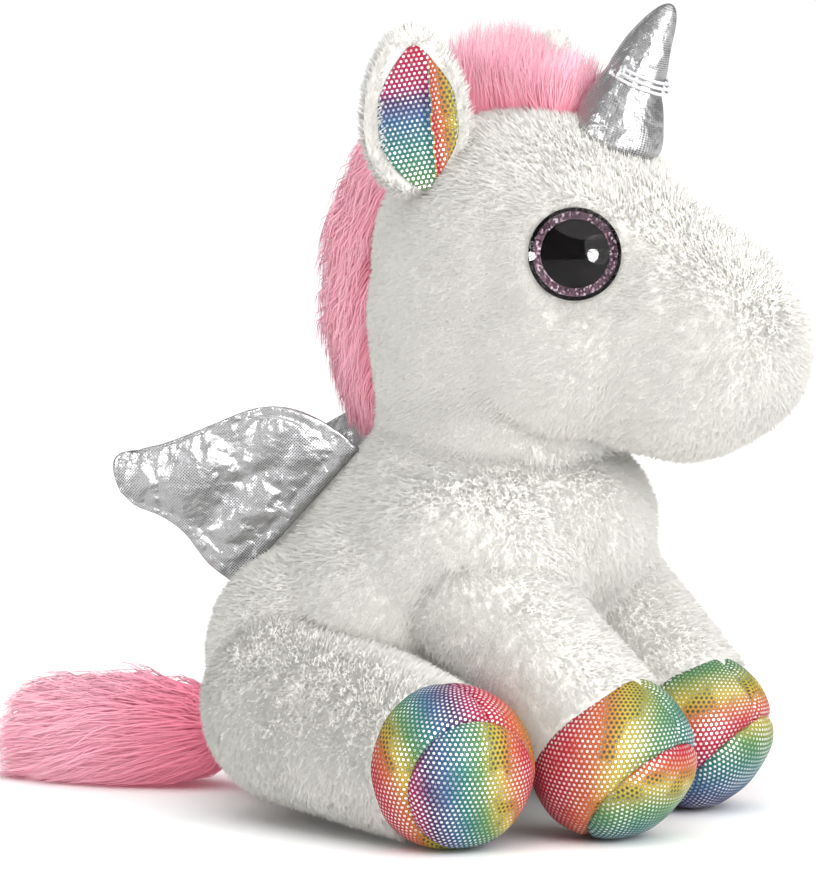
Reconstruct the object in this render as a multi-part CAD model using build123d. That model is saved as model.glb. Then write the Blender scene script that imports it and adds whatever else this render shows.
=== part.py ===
from build123d import *
import math
import os

# A seated plush unicorn with foil hooves, wings, horn and ear linings.
# Millimetres. The toy faces -Y, its right side is -X, and it sits on z = 0.
# Soft pieces are plain closed solids of the right size, one inside the other.

os.makedirs("parts", exist_ok=True)
SIDES = ("right", "left")

# ---------------------------------------------------------------- cloth and gaps
PILE = 1.6              # thickness of the short-pile plush covers
FOIL = 1.2              # thickness of the foil cloth
PACK_GAP = 0.2          # air between a cover and the stuffing that fills it
SEAM_GAP = 0.6          # clearance between two bodies that flex against each other

# ---------------------------------------------------------------- torso
SEAT_AT = (0, 14, 50)   # middle of the rump ball, above the flat seat
SEAT_R = 58
CHEST_AT = (0, -44, 112)
CHEST_R = 54
SHOULDER_LINE = 130     # height where the torso cover ends under the neck
PELLETS_R = 19
PELLETS_L = 44          # between the middles of the bag's two round ends
PELLETS_LIFT = 4        # stuffing under the bag

# ---------------------------------------------------------------- neck and head
NECK_R = 44
NECK_SINK = 28          # underside of the neck ball below the shoulder line
NECK_AHEAD = 6          # middle of the neck ball in front of the chest's
SKULL_R = 60
SKULL_OFF = (0, -12, 62)        # from the neck's middle to the skull's
MUZZLE_R = 45
MUZZLE_OFF = (0, -63, -30)      # from the skull's middle to the muzzle's
GUSSET_W = 34           # width of the strip that runs over the head
PANEL_GAP = 0.2         # seam line between the head's cloth panels

# ---------------------------------------------------------------- hair
FORELOCK_R = 14
FORELOCK_TOWARDS = ((0, 14, 68), (0, -12, 70))          # its two ends, from the skull
FORELOCK_OUT = (9.4, 11.0)                              # their middles off the skull
MANE_TOWARDS = ((0, 56, 32), (0, 75, -8), (0, 74, -32))
MANE_OUT = (4.5, 15.4, 20)
MANE_R = (12, 17, 9)

# ---------------------------------------------------------------- horn
HORN_TOWARDS = (0, -35, 50)     # where it stands, from the skull's middle
HORN_OUT = 1.03                 # its base above the skull
HORN_LEAN = (0, -20, 44)
HORN_L = 48.33
HORN_BASE_R = 16.5
HORN_TIP_R = 3
HORN_SINK = 6           # how far the cone starts below its base
THREAD_R = 0.6
THREAD_LIE = 0.8        # from the horn's surface to the middle of the thread
THREAD_TURNS = 3
THREAD_AT = 0.42        # share of the horn's length where the thread pinches it
THREAD_PITCH = 2.0

# ---------------------------------------------------------------- eyes
EYE_TOWARDS = (-47.5, -40, 5.5)
EYE_OUT = 2.34
EYE_LOOK = (-0.86, -0.50, 0.08)
EYE_D = 34
EYE_RIM_H = 2.5
GLITTER_D = 31
GLITTER_H = 0.8
PUPIL_D = 25
PUPIL_H = 3.0
LENS_H = 5.5
SHANK_D = 6
SHANK_L = 15
WASHER_D = 20
WASHER_H = 2
SHANK_FIT = 0.15        # washer bore over the shank, on the radius

# ---------------------------------------------------------------- ears
EAR_TOWARDS = (-47, 24, 28)
EAR_OUT = -0.26
EAR_LEAN = (-0.20, 0.0, 0.98)
EAR_FACE = (-0.66, -0.75, 0.0)
EAR_W = 43
EAR_H = 60
EAR_T = 5
LINING_W = 31
LINING_H = 52
EAR_LIFT = 3            # air between the ear's base and the crown at its hinge

# ---------------------------------------------------------------- wings
WING_TOP_SHARE = 0.886  # places of the root's two ends along the torso, seat to chest
WING_LOW_SHARE = 0.06
WING_TOP_TOWARDS = (-27, 35.4, 33.1)
WING_LOW_TOWARDS = (-37, 34.5, 32.3)
WING_TOP_OUT = 1.05
WING_LOW_OUT = 2.3
WING_REACH = (-37, 87, -11)     # from the root's top to the wing's tip
WING_T = 8
WING_LIFT = 5           # how far the padded part starts from its hinge seam
WING_TOP_BULGE = 16     # height of the leading edge over a straight line

# ---------------------------------------------------------------- tail
TAIL_ROOT_R = 11
TAIL_ROOT_H = 24        # height of the tail's root above the floor
TAIL_ROOT_SINK = 2      # how far its middle lies inside the rump
TAIL_R = (13, 23.5, 19.5)
TAIL_FROM_ROOT = (18, 52, 80.5)
TAIL_LIFT = (7, 0, 0)   # the fur's underside above the floor
TAIL_CORE_R = 5
TAIL_CORE_L = 62

# ---------------------------------------------------------------- legs
FORE_R = (28, 27)
FORE_APART = -10        # shoulder's middle beyond the chest ball's side
FORE_DROP = 18          # shoulder's middle below the neck ball's underside
FORE_AHEAD = 16         # shoulder's middle in front of the chest's
FORE_CUFF_OFF = (-3, -44, -41)
FORE_HOOF_OFF = (-4, -58)
FORE_STRAY = (-12, 6, 0)        # left hoof off the right one's mirror image
FORE_CUFF_STRAY = 0.76  # share of it that the left cuff follows
FORE_HOOF_R = FORE_R[1] + 3
FORE_SOLE = (-0.05, -0.72, -0.69)
FORE_LIFT = 25          # degrees that a front leg lifts

HIND_R = (40, 28)
HIND_OUT = 1.5          # how far the hip moves out for each millimetre of its radius
HIND_IN = 56            # and back in from there, beside the rump ball
HIND_BACK = -6          # hip's middle behind the rump's
HIND_FLOOR = (1, 2.5)   # leg's underside above the floor, at the hip and the cuff
HIND_HOOF_R = HIND_R[1] + 1.5
HOOF_GAP_UNDER = 35.6   # gap between the hooves of one side, below the hip's radius
HOOF_TOWARDS = (-49, 41)        # from the front hoof to the hind one, over the floor
HIND_CUFF_SHARE = 0.825 # the cuff's place between hip and hoof, over the floor
HIND_SOLE = (-0.58, -0.77, -0.26)

CUFF_SHARE = 0.42       # cuff seam behind the hoof's middle, as a share of its radius
SOLE_SHARE = 0.55       # sole seam in front of the middle, as a share of its radius


# ================================================================ helpers
def along(start, end, distance):
    """The point that lies a distance from start towards end."""
    a = Vector(*start)
    return tuple(a + (Vector(*end) - a).normalized() * distance)


def moved(point, step):
    return tuple(Vector(*point) + Vector(*step))


def out_from(centre, direction, distance):
    """The point at a distance from a ball's middle in the direction given."""
    return tuple(Vector(*centre) + Vector(*direction).normalized() * distance)


def between(start, end, share):
    return tuple(Vector(*start) + (Vector(*end) - Vector(*start)) * share)


def on(side, point):
    """A point or a direction that is given for the right, on the side named."""
    return point if side == "right" else (-point[0], point[1], point[2])


def ball(centre, radius):
    return Pos(*centre) * Sphere(radius)


def bolster(start, r_start, end, r_end):
    """Two balls and the cone that is tangent to both."""
    a, b = Vector(*start), Vector(*end)
    length = (b - a).length
    tilt = math.asin((r_start - r_end) / length)

    def at(radius, height, angle):
        return (radius * math.cos(angle), height + radius * math.sin(angle))

    low = at(r_start, 0, tilt)
    high = at(r_end, length, tilt)
    outline = [
        Line((0, length + r_end), (0, -r_start)),
        ThreePointArc((0, -r_start), at(r_start, 0, (tilt - math.pi / 2) / 2), low),
        Line(low, high),
        ThreePointArc(high, at(r_end, length, (tilt + math.pi / 2) / 2), (0, length + r_end)),
    ]
    face = Plane.XZ * make_face(outline)
    return Plane(origin=a, z_dir=b - a) * revolve(face, Axis.Z)


def half_space(point, direction, reach=1000):
    """A block that fills everything on the side that direction points to."""
    block = Pos(0, 0, reach / 2) * Box(reach, reach, reach)
    return Plane(origin=Vector(*point), z_dir=Vector(*direction)) * block


def turned(solid, centre, axis, angle):
    return solid.rotate(Axis(centre, axis), angle)


def save(name, solid):
    export_step(solid, f"parts/{name}.step")


# ================================================================ places
NECK_AT = (0, CHEST_AT[1] - NECK_AHEAD, SHOULDER_LINE - NECK_SINK + NECK_R)
SKULL_AT = moved(NECK_AT, SKULL_OFF)
MUZZLE_AT = moved(SKULL_AT, MUZZLE_OFF)
HORN_BASE = out_from(SKULL_AT, HORN_TOWARDS, SKULL_R + HORN_OUT)
EYE_AT = out_from(SKULL_AT, EYE_TOWARDS, SKULL_R + EYE_OUT)
EAR_AT = out_from(SKULL_AT, EAR_TOWARDS, SKULL_R + EAR_OUT)
TAIL_ROOT_AT = (0, SEAT_AT[1] + SEAT_R - TAIL_ROOT_SINK, TAIL_ROOT_H)
FORE_JOINT = (-CHEST_R - FORE_APART, CHEST_AT[1] - FORE_AHEAD, NECK_AT[2] - NECK_R - FORE_DROP)
FORE_CUFF = moved(FORE_JOINT, FORE_CUFF_OFF)
FORE_HOOF = (FORE_JOINT[0] + FORE_HOOF_OFF[0], FORE_JOINT[1] + FORE_HOOF_OFF[1], FORE_HOOF_R)
HIND_JOINT = (
    HIND_IN - SEAT_R - HIND_OUT * HIND_R[0],
    SEAT_AT[1] + HIND_BACK,
    HIND_R[0] + HIND_FLOOR[0],
)
hoof_gap = HIND_R[0] - HOOF_GAP_UNDER
hoof_step = Vector(*HOOF_TOWARDS).normalized() * (FORE_HOOF_R + HIND_HOOF_R + hoof_gap)
HIND_HOOF = (FORE_HOOF[0] + hoof_step.X, FORE_HOOF[1] + hoof_step.Y, HIND_HOOF_R)
HIND_CUFF = (*between(HIND_JOINT, HIND_HOOF, HIND_CUFF_SHARE)[:2], HIND_R[1] + HIND_FLOOR[1])


# ================================================================ legs
def leg_form(joint, cuff, radii, inset):
    return bolster(joint, radii[0] - inset, cuff, radii[1] - inset)


def leg_pieces(prefix, joint, cuff, hoof, radii, hoof_r, sole):
    """A plush sleeve, its stuffing, two foil hoof panels and the foil sole."""
    toe = (Vector(*hoof) - Vector(*joint)).normalized()
    cuff_at = Vector(*hoof) - toe * (hoof_r * CUFF_SHARE)
    sole_dir = Vector(*sole).normalized()
    sole_at = Vector(*hoof) + sole_dir * (hoof_r * SOLE_SHARE)
    beyond_cuff = half_space(cuff_at, toe)
    beyond_sole = half_space(sole_at, sole_dir)
    seam_side = toe.cross(Vector(0, 0, 1)).normalized()

    sleeve = leg_form(joint, cuff, radii, 0)
    sleeve -= leg_form(joint, cuff, radii, PILE)
    sleeve -= beyond_cuff
    hoof_plane = Plane(origin=Vector(*hoof), z_dir=toe)
    hoof_shell = hoof_plane * (Sphere(hoof_r) - Sphere(hoof_r - FOIL))
    hoof_shell -= half_space(cuff_at, -toe)
    sole_cap = hoof_shell & beyond_sole
    upper = hoof_shell - beyond_sole
    if seam_side.X * hoof[0] < 0:
        seam_side = -seam_side
    outer_half = half_space(hoof, seam_side)

    stuffing = leg_form(joint, cuff, radii, PILE + PACK_GAP) - beyond_cuff
    stuffing += hoof_plane * Sphere(hoof_r - FOIL - PACK_GAP) - half_space(cuff_at, -toe)
    return {
        f"{prefix}leg_cover": sleeve,
        f"{prefix}leg_stuffing": stuffing,
        f"{prefix}_hoof_outer": upper & outer_half,
        f"{prefix}_hoof_inner": upper - outer_half,
        f"{prefix}_hoof_sole": sole_cap,
    }


def fore_places(side):
    """Shoulder, cuff and hoof of a front leg; the left one rests further in and back."""
    joint, cuff, hoof = (on(side, p) for p in (FORE_JOINT, FORE_CUFF, FORE_HOOF))
    if side == "left":
        cuff = moved(cuff, Vector(*FORE_STRAY) * FORE_CUFF_STRAY)
        hoof = moved(hoof, FORE_STRAY)
    return joint, cuff, hoof


for side in SIDES:
    pieces = leg_pieces("fore", *fore_places(side), FORE_R, FORE_HOOF_R, on(side, FORE_SOLE))
    joint, cuff, hoof, sole = (on(side, p) for p in (HIND_JOINT, HIND_CUFF, HIND_HOOF, HIND_SOLE))
    pieces |= leg_pieces("hind", joint, cuff, hoof, HIND_R, HIND_HOOF_R, sole)
    for name, solid in pieces.items():
        save(f"{name}_{side}", solid)


# ================================================================ torso
def torso_form(inset):
    form = bolster(SEAT_AT, SEAT_R - inset, CHEST_AT, CHEST_R - inset)
    form -= half_space((0, 0, inset), (0, 0, -1))
    return form - half_space((0, 0, SHOULDER_LINE - inset), (0, 0, 1))


def fore_room(side):
    """A front leg, wide enough at its cuff for the whole travel, at the middle of it."""
    joint, cuff, _ = fore_places(side)
    half_travel = FORE_LIFT / 2
    reach = (Vector(*cuff) - Vector(*joint)).length
    spread = 2 * reach * math.sin(math.radians(half_travel / 2))
    room = leg_form(joint, cuff, (FORE_R[0], FORE_R[1] + spread), -SEAM_GAP)
    return turned(room, joint, (1, 0, 0), -half_travel)


def sockets():
    yield ball(NECK_AT, NECK_R + SEAM_GAP)
    yield ball(TAIL_ROOT_AT, TAIL_ROOT_R + SEAM_GAP)
    for side in SIDES:
        yield fore_room(side)
        yield leg_form(on(side, HIND_JOINT), on(side, HIND_CUFF), HIND_R, -SEAM_GAP)


def pellet_form(inset):
    front = (0, SEAT_AT[1] - PELLETS_L / 2, PELLETS_R + PELLETS_LIFT)
    back = (0, SEAT_AT[1] + PELLETS_L / 2, PELLETS_R + PELLETS_LIFT)
    return bolster(front, PELLETS_R - inset, back, PELLETS_R - inset)


torso_cover = torso_form(0) - torso_form(PILE)
torso_stuffing = torso_form(PILE + PACK_GAP)
for socket in sockets():
    torso_cover -= socket
    torso_stuffing -= socket
save("torso_cover", torso_cover)
save("torso_stuffing", torso_stuffing - pellet_form(-PACK_GAP))
save("pellet_bag", pellet_form(0))

# ================================================================ neck
save("neck_cover", ball(NECK_AT, NECK_R) - ball(NECK_AT, NECK_R - PILE))
save("neck_stuffing", ball(NECK_AT, NECK_R - PILE - PACK_GAP))


# ================================================================ head
def head_form(inset):
    return bolster(SKULL_AT, SKULL_R - inset, MUZZLE_AT, MUZZLE_R - inset)


def eye_plane(side):
    return Plane(origin=on(side, EYE_AT), z_dir=on(side, EYE_LOOK))


def eye_room():
    """The seat, the shank hole and the washer's place, around the eye's axis."""
    room = Pos(0, 0, -SHANK_L / 2) * Cylinder(SHANK_D / 2 + PACK_GAP, SHANK_L + 1)
    room += Pos(0, 0, -SHANK_L + WASHER_H) * Cylinder(WASHER_D / 2 + PACK_GAP, 2 * WASHER_H)
    return room + Pos(0, 0, 10) * Cylinder(EYE_D / 2 + PACK_GAP, 20)


neck_socket = ball(NECK_AT, NECK_R + SEAM_GAP)
head_cloth = head_form(0) - head_form(PILE) - neck_socket
head_stuffing = head_form(PILE + PACK_GAP) - neck_socket
for side in SIDES:
    room = eye_plane(side) * eye_room()
    head_cloth -= room
    head_stuffing -= room

right_of_gusset = half_space((-GUSSET_W / 2, 0, 0), (-1, 0, 0))
left_of_gusset = half_space((GUSSET_W / 2, 0, 0), (1, 0, 0))
strip = Pos(0, MUZZLE_AT[1] / 2, SKULL_AT[2]) * Box(GUSSET_W - 2 * PANEL_GAP, 400, 400)
save("head_panel_right", head_cloth & right_of_gusset)
save("head_panel_left", head_cloth & left_of_gusset)
save("head_gusset", head_cloth & strip)
save("head_stuffing", head_stuffing)

head_block = head_form(-PACK_GAP)

# ================================================================ horn
horn_plane = Plane(origin=HORN_BASE, z_dir=HORN_LEAN)
horn_slope = (HORN_BASE_R - HORN_TIP_R) / HORN_L


def horn_form(inset):
    """A cone with a round tip, which starts below the crown."""
    reach = HORN_L + HORN_SINK
    base = HORN_BASE_R + horn_slope * HORN_SINK - inset
    cone = Pos(0, 0, reach / 2 - HORN_SINK) * Cone(base, HORN_TIP_R - inset, reach)
    tip = Pos(0, 0, HORN_L) * Sphere(HORN_TIP_R - inset)
    return horn_plane * (cone + tip)


def thread_turn(number):
    """One wound turn of the thread that pinches the horn."""
    height = HORN_L * THREAD_AT + number * THREAD_PITCH
    radius = HORN_BASE_R - horn_slope * height
    return horn_plane * Pos(0, 0, height) * Torus(radius + THREAD_LIE, THREAD_R)


save("horn_cover", horn_form(0) - horn_form(FOIL) - head_block)
save("horn_stuffing", horn_form(FOIL + PACK_GAP) - head_block)
turns = [thread_turn(number) for number in range(THREAD_TURNS)]
save("horn_thread", Compound(children=turns))


# ================================================================ hair
tuft = [out_from(SKULL_AT, way, SKULL_R + out) for way, out in zip(FORELOCK_TOWARDS, FORELOCK_OUT)]
forelock = bolster(tuft[0], FORELOCK_R, tuft[1], FORELOCK_R - 1)
save("forelock", forelock - head_block - horn_form(-PACK_GAP))
top, middle, low = (out_from(SKULL_AT, way, SKULL_R + out) for way, out in zip(MANE_TOWARDS, MANE_OUT))
mane = bolster(top, MANE_R[0], middle, MANE_R[1])
mane += bolster(middle, MANE_R[1] - PACK_GAP, low, MANE_R[2])
save("mane_strip", mane - head_block - neck_socket)

# ================================================================ eyes
def cap(diameter, height):
    """A dome that stands on z = 0."""
    radius = (diameter ** 2 / 4 + height ** 2) / (2 * height)
    dome = Pos(0, 0, height - radius) * Sphere(radius)
    return dome - half_space((0, 0, 0), (0, 0, -1))


def ring(outer_d, inner_d, height, base):
    tube = Cylinder(outer_d / 2, height) - Cylinder(inner_d / 2, height * 2)
    return Pos(0, 0, base + height / 2) * tube


shank = Pos(0, 0, -SHANK_L / 2) * Cylinder(SHANK_D / 2, SHANK_L)
washer = ring(WASHER_D, SHANK_D + 2 * SHANK_FIT, WASHER_H, -SHANK_L + WASHER_H)
rim = Pos(0, 0, EYE_RIM_H / 2) * Cylinder(EYE_D / 2, EYE_RIM_H)
pupil = Pos(0, 0, EYE_RIM_H) * cap(PUPIL_D, PUPIL_H)
glitter = ring(GLITTER_D, PUPIL_D, GLITTER_H, EYE_RIM_H)
lens = Pos(0, 0, EYE_RIM_H) * cap(EYE_D, LENS_H)
eye_pieces = {
    "eye_back": rim + shank,
    "eye_pupil": pupil,
    "eye_glitter": glitter,
    "eye_lens": lens - pupil - glitter,
    "eye_washer": washer,
}
for side in SIDES:
    for name, solid in eye_pieces.items():
        save(f"{name}_{side}", eye_plane(side) * solid)


# ================================================================ ears
def leaf(width, height):
    """A pointed oval that stands on its lower point."""
    left = ThreePointArc((0, 0), (-width / 2, height * 0.46), (0, height))
    right = ThreePointArc((0, height), (width / 2, height * 0.46), (0, 0))
    return make_face([left, right])


def ear_plane(side):
    up = Vector(*on(side, EAR_LEAN)).normalized()
    across = up.cross(Vector(*on(side, EAR_FACE))).normalized()
    return Plane(origin=on(side, EAR_AT), x_dir=across, z_dir=across.cross(up))


ear_plush = extrude(leaf(EAR_W, EAR_H), EAR_T / 2, both=True)
lining = Pos(0, (EAR_H - LINING_H) / 2, EAR_T / 2) * extrude(leaf(LINING_W, LINING_H), FOIL)
crown = head_form(-EAR_LIFT)
for side in SIDES:
    save(f"ear_plush_{side}", ear_plane(side) * ear_plush - crown)
    save(f"ear_lining_{side}", ear_plane(side) * lining - crown)

# ================================================================ wings
def bulged(start, end, bulge):
    """An arc that stands off the straight line between two points."""
    a, b = Vector(*start), Vector(*end)
    out = Vector((b - a).Y, -(b - a).X).normalized() * bulge
    return ThreePointArc(a, (a + b) * 0.5 + out, b)


def torso_point(share, direction, out):
    """A point off the torso's side, share of the way from the seat to the chest."""
    radius = SEAT_R + (CHEST_R - SEAT_R) * share
    return out_from(between(SEAT_AT, CHEST_AT, share), direction, radius + out)


WING_ROOT_TOP = torso_point(WING_TOP_SHARE, WING_TOP_TOWARDS, WING_TOP_OUT)
WING_ROOT_LOW = torso_point(WING_LOW_SHARE, WING_LOW_TOWARDS, WING_LOW_OUT)
WING_TIP = moved(WING_ROOT_TOP, WING_REACH)


def wing_layer(side, base, thickness):
    """One ply of a wing, which lies base outward from the wing's middle."""
    root_top, root_low, tip = (Vector(*on(side, p)) for p in (WING_ROOT_TOP, WING_ROOT_LOW, WING_TIP))
    along_root = (root_low - root_top).normalized()
    facing = along_root.cross(tip - root_top).normalized()
    plane = Plane(origin=root_top, x_dir=along_root, z_dir=facing)
    root_length = (root_low - root_top).length
    tip_at = ((tip - root_top).dot(along_root), (tip - root_top).dot(plane.y_dir))
    outline = make_face([
        Line((root_length, WING_LIFT), (0, WING_LIFT)),
        bulged(tip_at, (0, WING_LIFT), WING_TOP_BULGE),
        Line((root_length, WING_LIFT), tip_at),
    ])
    if facing.X * tip.X < 0:
        base = -base - thickness
    layer = plane * Pos(0, 0, base) * extrude(outline, thickness)
    return layer - torso_form(-SEAM_GAP) - ball(NECK_AT, NECK_R + SEAM_GAP)


for side in SIDES:
    save(f"wing_back_{side}", wing_layer(side, -WING_T / 2, FOIL))
    save(f"wing_padding_{side}", wing_layer(side, FOIL - WING_T / 2, WING_T - 2 * FOIL))
    save(f"wing_front_{side}", wing_layer(side, WING_T / 2 - FOIL, FOIL))

# ================================================================ tail
tail_socket = ball(TAIL_ROOT_AT, TAIL_ROOT_R + SEAM_GAP)
start, middle, end = (
    (0, TAIL_ROOT_AT[1] + reach, radius + lift)
    for reach, radius, lift in zip(TAIL_FROM_ROOT, TAIL_R, TAIL_LIFT)
)
core_start = along(TAIL_ROOT_AT, middle, TAIL_ROOT_R)
core = bolster(core_start, TAIL_CORE_R, along(core_start, middle, TAIL_CORE_L), TAIL_CORE_R - 1)
fur = bolster(start, TAIL_R[0], middle, TAIL_R[1])
fur += bolster(middle, TAIL_R[1] - PACK_GAP, end, TAIL_R[2])
save("tail_stub", ball(TAIL_ROOT_AT, TAIL_ROOT_R))
save("tail_core", core - tail_socket)
save("tail_fur", fur - core - tail_socket)
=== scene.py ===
import math

import bmesh
import bpy
import numpy as np
from bpy.props import FloatProperty, FloatVectorProperty, PointerProperty
from mathutils import Matrix, Vector, noise


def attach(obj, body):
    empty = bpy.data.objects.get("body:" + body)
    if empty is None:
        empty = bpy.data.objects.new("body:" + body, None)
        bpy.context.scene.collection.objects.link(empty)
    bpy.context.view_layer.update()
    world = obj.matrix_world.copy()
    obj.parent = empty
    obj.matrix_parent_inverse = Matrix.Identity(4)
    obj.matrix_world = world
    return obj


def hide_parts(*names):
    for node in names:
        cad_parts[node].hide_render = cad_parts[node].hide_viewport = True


bl_info = {
    "name": "Plush Unicorn",
    "version": (1, 0, 0),
    "blender": (4, 5, 0),
    "location": "View3D > Sidebar > Unicorn",
    "description": "Builds the cloth, hair, foil and eyes of a seated plush unicorn on its frame",
    "category": "Object",
}

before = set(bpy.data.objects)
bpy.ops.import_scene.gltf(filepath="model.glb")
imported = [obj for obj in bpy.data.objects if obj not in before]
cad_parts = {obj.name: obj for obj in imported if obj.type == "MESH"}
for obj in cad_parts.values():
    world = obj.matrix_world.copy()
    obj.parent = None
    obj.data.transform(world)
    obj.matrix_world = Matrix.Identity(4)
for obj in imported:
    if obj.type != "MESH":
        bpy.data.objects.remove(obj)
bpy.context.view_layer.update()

MM = 0.001
SIDES = ("right", "left")

# ---------------------------------------------------------------- places, in millimetres
SEAT, SEAT_R = Vector((0, 14, 50)), 58
CHEST, CHEST_R = Vector((0, -44, 112)), 54
SKULL, SKULL_R = Vector((0, -62, 208)), 60
MUZZLE, MUZZLE_R = Vector((0, -125, 178)), 45
EYE, EYE_LOOK = Vector((-47.5, -102, 213.5)), Vector((-0.86, -0.50, 0.08))
EAR, EAR_UP, EAR_FACE = Vector((-47, -38, 236)), Vector((-0.20, 0, 0.98)), Vector((-0.66, -0.75, 0))
HORN, HORN_TIP = Vector((0, -97, 258)), Vector((0, -117, 302))
WING_TOP, WING_LOW = Vector((-27, -2, 138)), Vector((-37, 45, 86))
WING_TIP = Vector((-63, 83, 122))
FORE, FORE_HOOF, FORE_R = Vector((-44, -60, 84)), Vector((-48, -118, 30)), 30
FORE_SOLE = Vector((-0.05, -0.72, -0.69))
HIND, HIND_HOOF, HIND_R = Vector((-62, 8, 41)), Vector((-97, -77, 29.5)), 29.5
HIND_SOLE = Vector((-0.58, -0.77, -0.26))
FORE_STRAY = Vector((-12, 6, 0))
CUFF_SHARE = 0.42
SOLE_SHARE = 0.55


def on(side, point):
    """A point or direction that is given for the right, on the side named."""
    return point.copy() if side == "right" else Vector((-point.x, point.y, point.z))


def strayed(side, point, share=1.0):
    """A place on a front leg: the left leg rests further in and back."""
    return on(side, point) + (FORE_STRAY * share if side == "left" else Vector())


# ================================================================ settings
class PlushSettings(bpy.types.PropertyGroup):
    pile_length: FloatProperty(
        name="Pile length", description="Length of the short white pile",
        default=0.0038, min=0.001, max=0.01, unit="LENGTH")
    pile_density: FloatProperty(
        name="Pile density", description="Tufts of short pile on each square millimetre",
        default=1.6, min=0.05, max=4.0)
    pile_width: FloatProperty(
        name="Tuft width", description="Radius of a tuft of short pile at its root",
        default=0.00033, min=0.0001, max=0.001, unit="LENGTH")
    white: FloatVectorProperty(
        name="White", description="Colour of the plush cloth", subtype="COLOR",
        default=(0.93, 0.915, 0.865), min=0, max=1)
    voxel: FloatProperty(
        name="Form detail", description="Size of the cells that the soft forms are made from",
        default=0.0026, min=0.001, max=0.01, unit="LENGTH")


class HairSettings(bpy.types.PropertyGroup):
    root: FloatVectorProperty(
        name="Root", description="Hair colour at the cloth", subtype="COLOR",
        default=(1.0, 0.33, 0.45), min=0, max=1)
    middle: FloatVectorProperty(
        name="Middle", description="Hair colour halfway", subtype="COLOR",
        default=(1.0, 0.50, 0.60), min=0, max=1)
    tip: FloatVectorProperty(
        name="Tip", description="Hair colour at its end", subtype="COLOR",
        default=(1.0, 0.70, 0.77), min=0, max=1)
    width: FloatProperty(
        name="Lock width", description="Radius of a lock of long hair at its root",
        default=0.00042, min=0.0001, max=0.002, unit="LENGTH")


class FoilSettings(bpy.types.PropertyGroup):
    dot_pitch: FloatProperty(
        name="Dot pitch", description="Spacing of the dots on the rainbow foil",
        default=0.00205, min=0.0005, max=0.01, unit="LENGTH")
    mesh_pitch: FloatProperty(
        name="Mesh pitch", description="Spacing of the micro dots on the silver foil",
        default=0.00118, min=0.0005, max=0.01, unit="LENGTH")
    silver: FloatVectorProperty(
        name="Silver", description="Colour of the silver foil", subtype="COLOR",
        default=(0.40, 0.40, 0.405), min=0, max=1)


class StageSettings(bpy.types.PropertyGroup):
    azimuth: FloatProperty(
        name="Camera azimuth", description="Where the camera stands around the toy",
        default=math.radians(-62), subtype="ANGLE", unit="ROTATION")
    elevation: FloatProperty(
        name="Camera elevation", description="How far the camera looks down",
        default=math.radians(3.75), subtype="ANGLE", unit="ROTATION")
    distance: FloatProperty(
        name="Camera distance", description="From the camera to the toy's middle",
        default=1.8, min=0.3, unit="LENGTH")
    width: FloatProperty(
        name="Picture width", description="Width of the view at the toy",
        default=0.3142, min=0.1, unit="LENGTH")
    key: FloatProperty(
        name="Key light", description="Power of the large front softbox",
        default=5.0, min=0, unit="POWER")
    gleam: FloatProperty(
        name="Gleam", description="Power of the softboxes that show in gloss, for one square metre",
        default=240.0, min=0, unit="POWER")
    overhead: FloatProperty(
        name="Overhead light", description="Strength of the soft light from above",
        default=2.5, min=0)
    ambient: FloatProperty(
        name="Ambient", description="Strength of the even light from all sides",
        default=0.62, min=0)
    mirrored: FloatProperty(
        name="Mirrored room", description="Brightness of the room in reflections",
        default=0.3, min=0)


# ================================================================ shader arithmetic
class Value:
    """A node's output that takes part in Python arithmetic."""

    def __init__(self, shader, socket):
        self.shader, self.socket = shader, socket

    def __add__(self, other):
        return self.shader.maths("ADD", self, other)

    def __sub__(self, other):
        return self.shader.maths("SUBTRACT", self, other)

    def __rsub__(self, other):
        return self.shader.maths("SUBTRACT", other, self)

    def __mul__(self, other):
        return self.shader.maths("MULTIPLY", self, other)

    def __truediv__(self, other):
        return self.shader.maths("DIVIDE", self, other)

    __radd__ = __add__
    __rmul__ = __mul__


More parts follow.
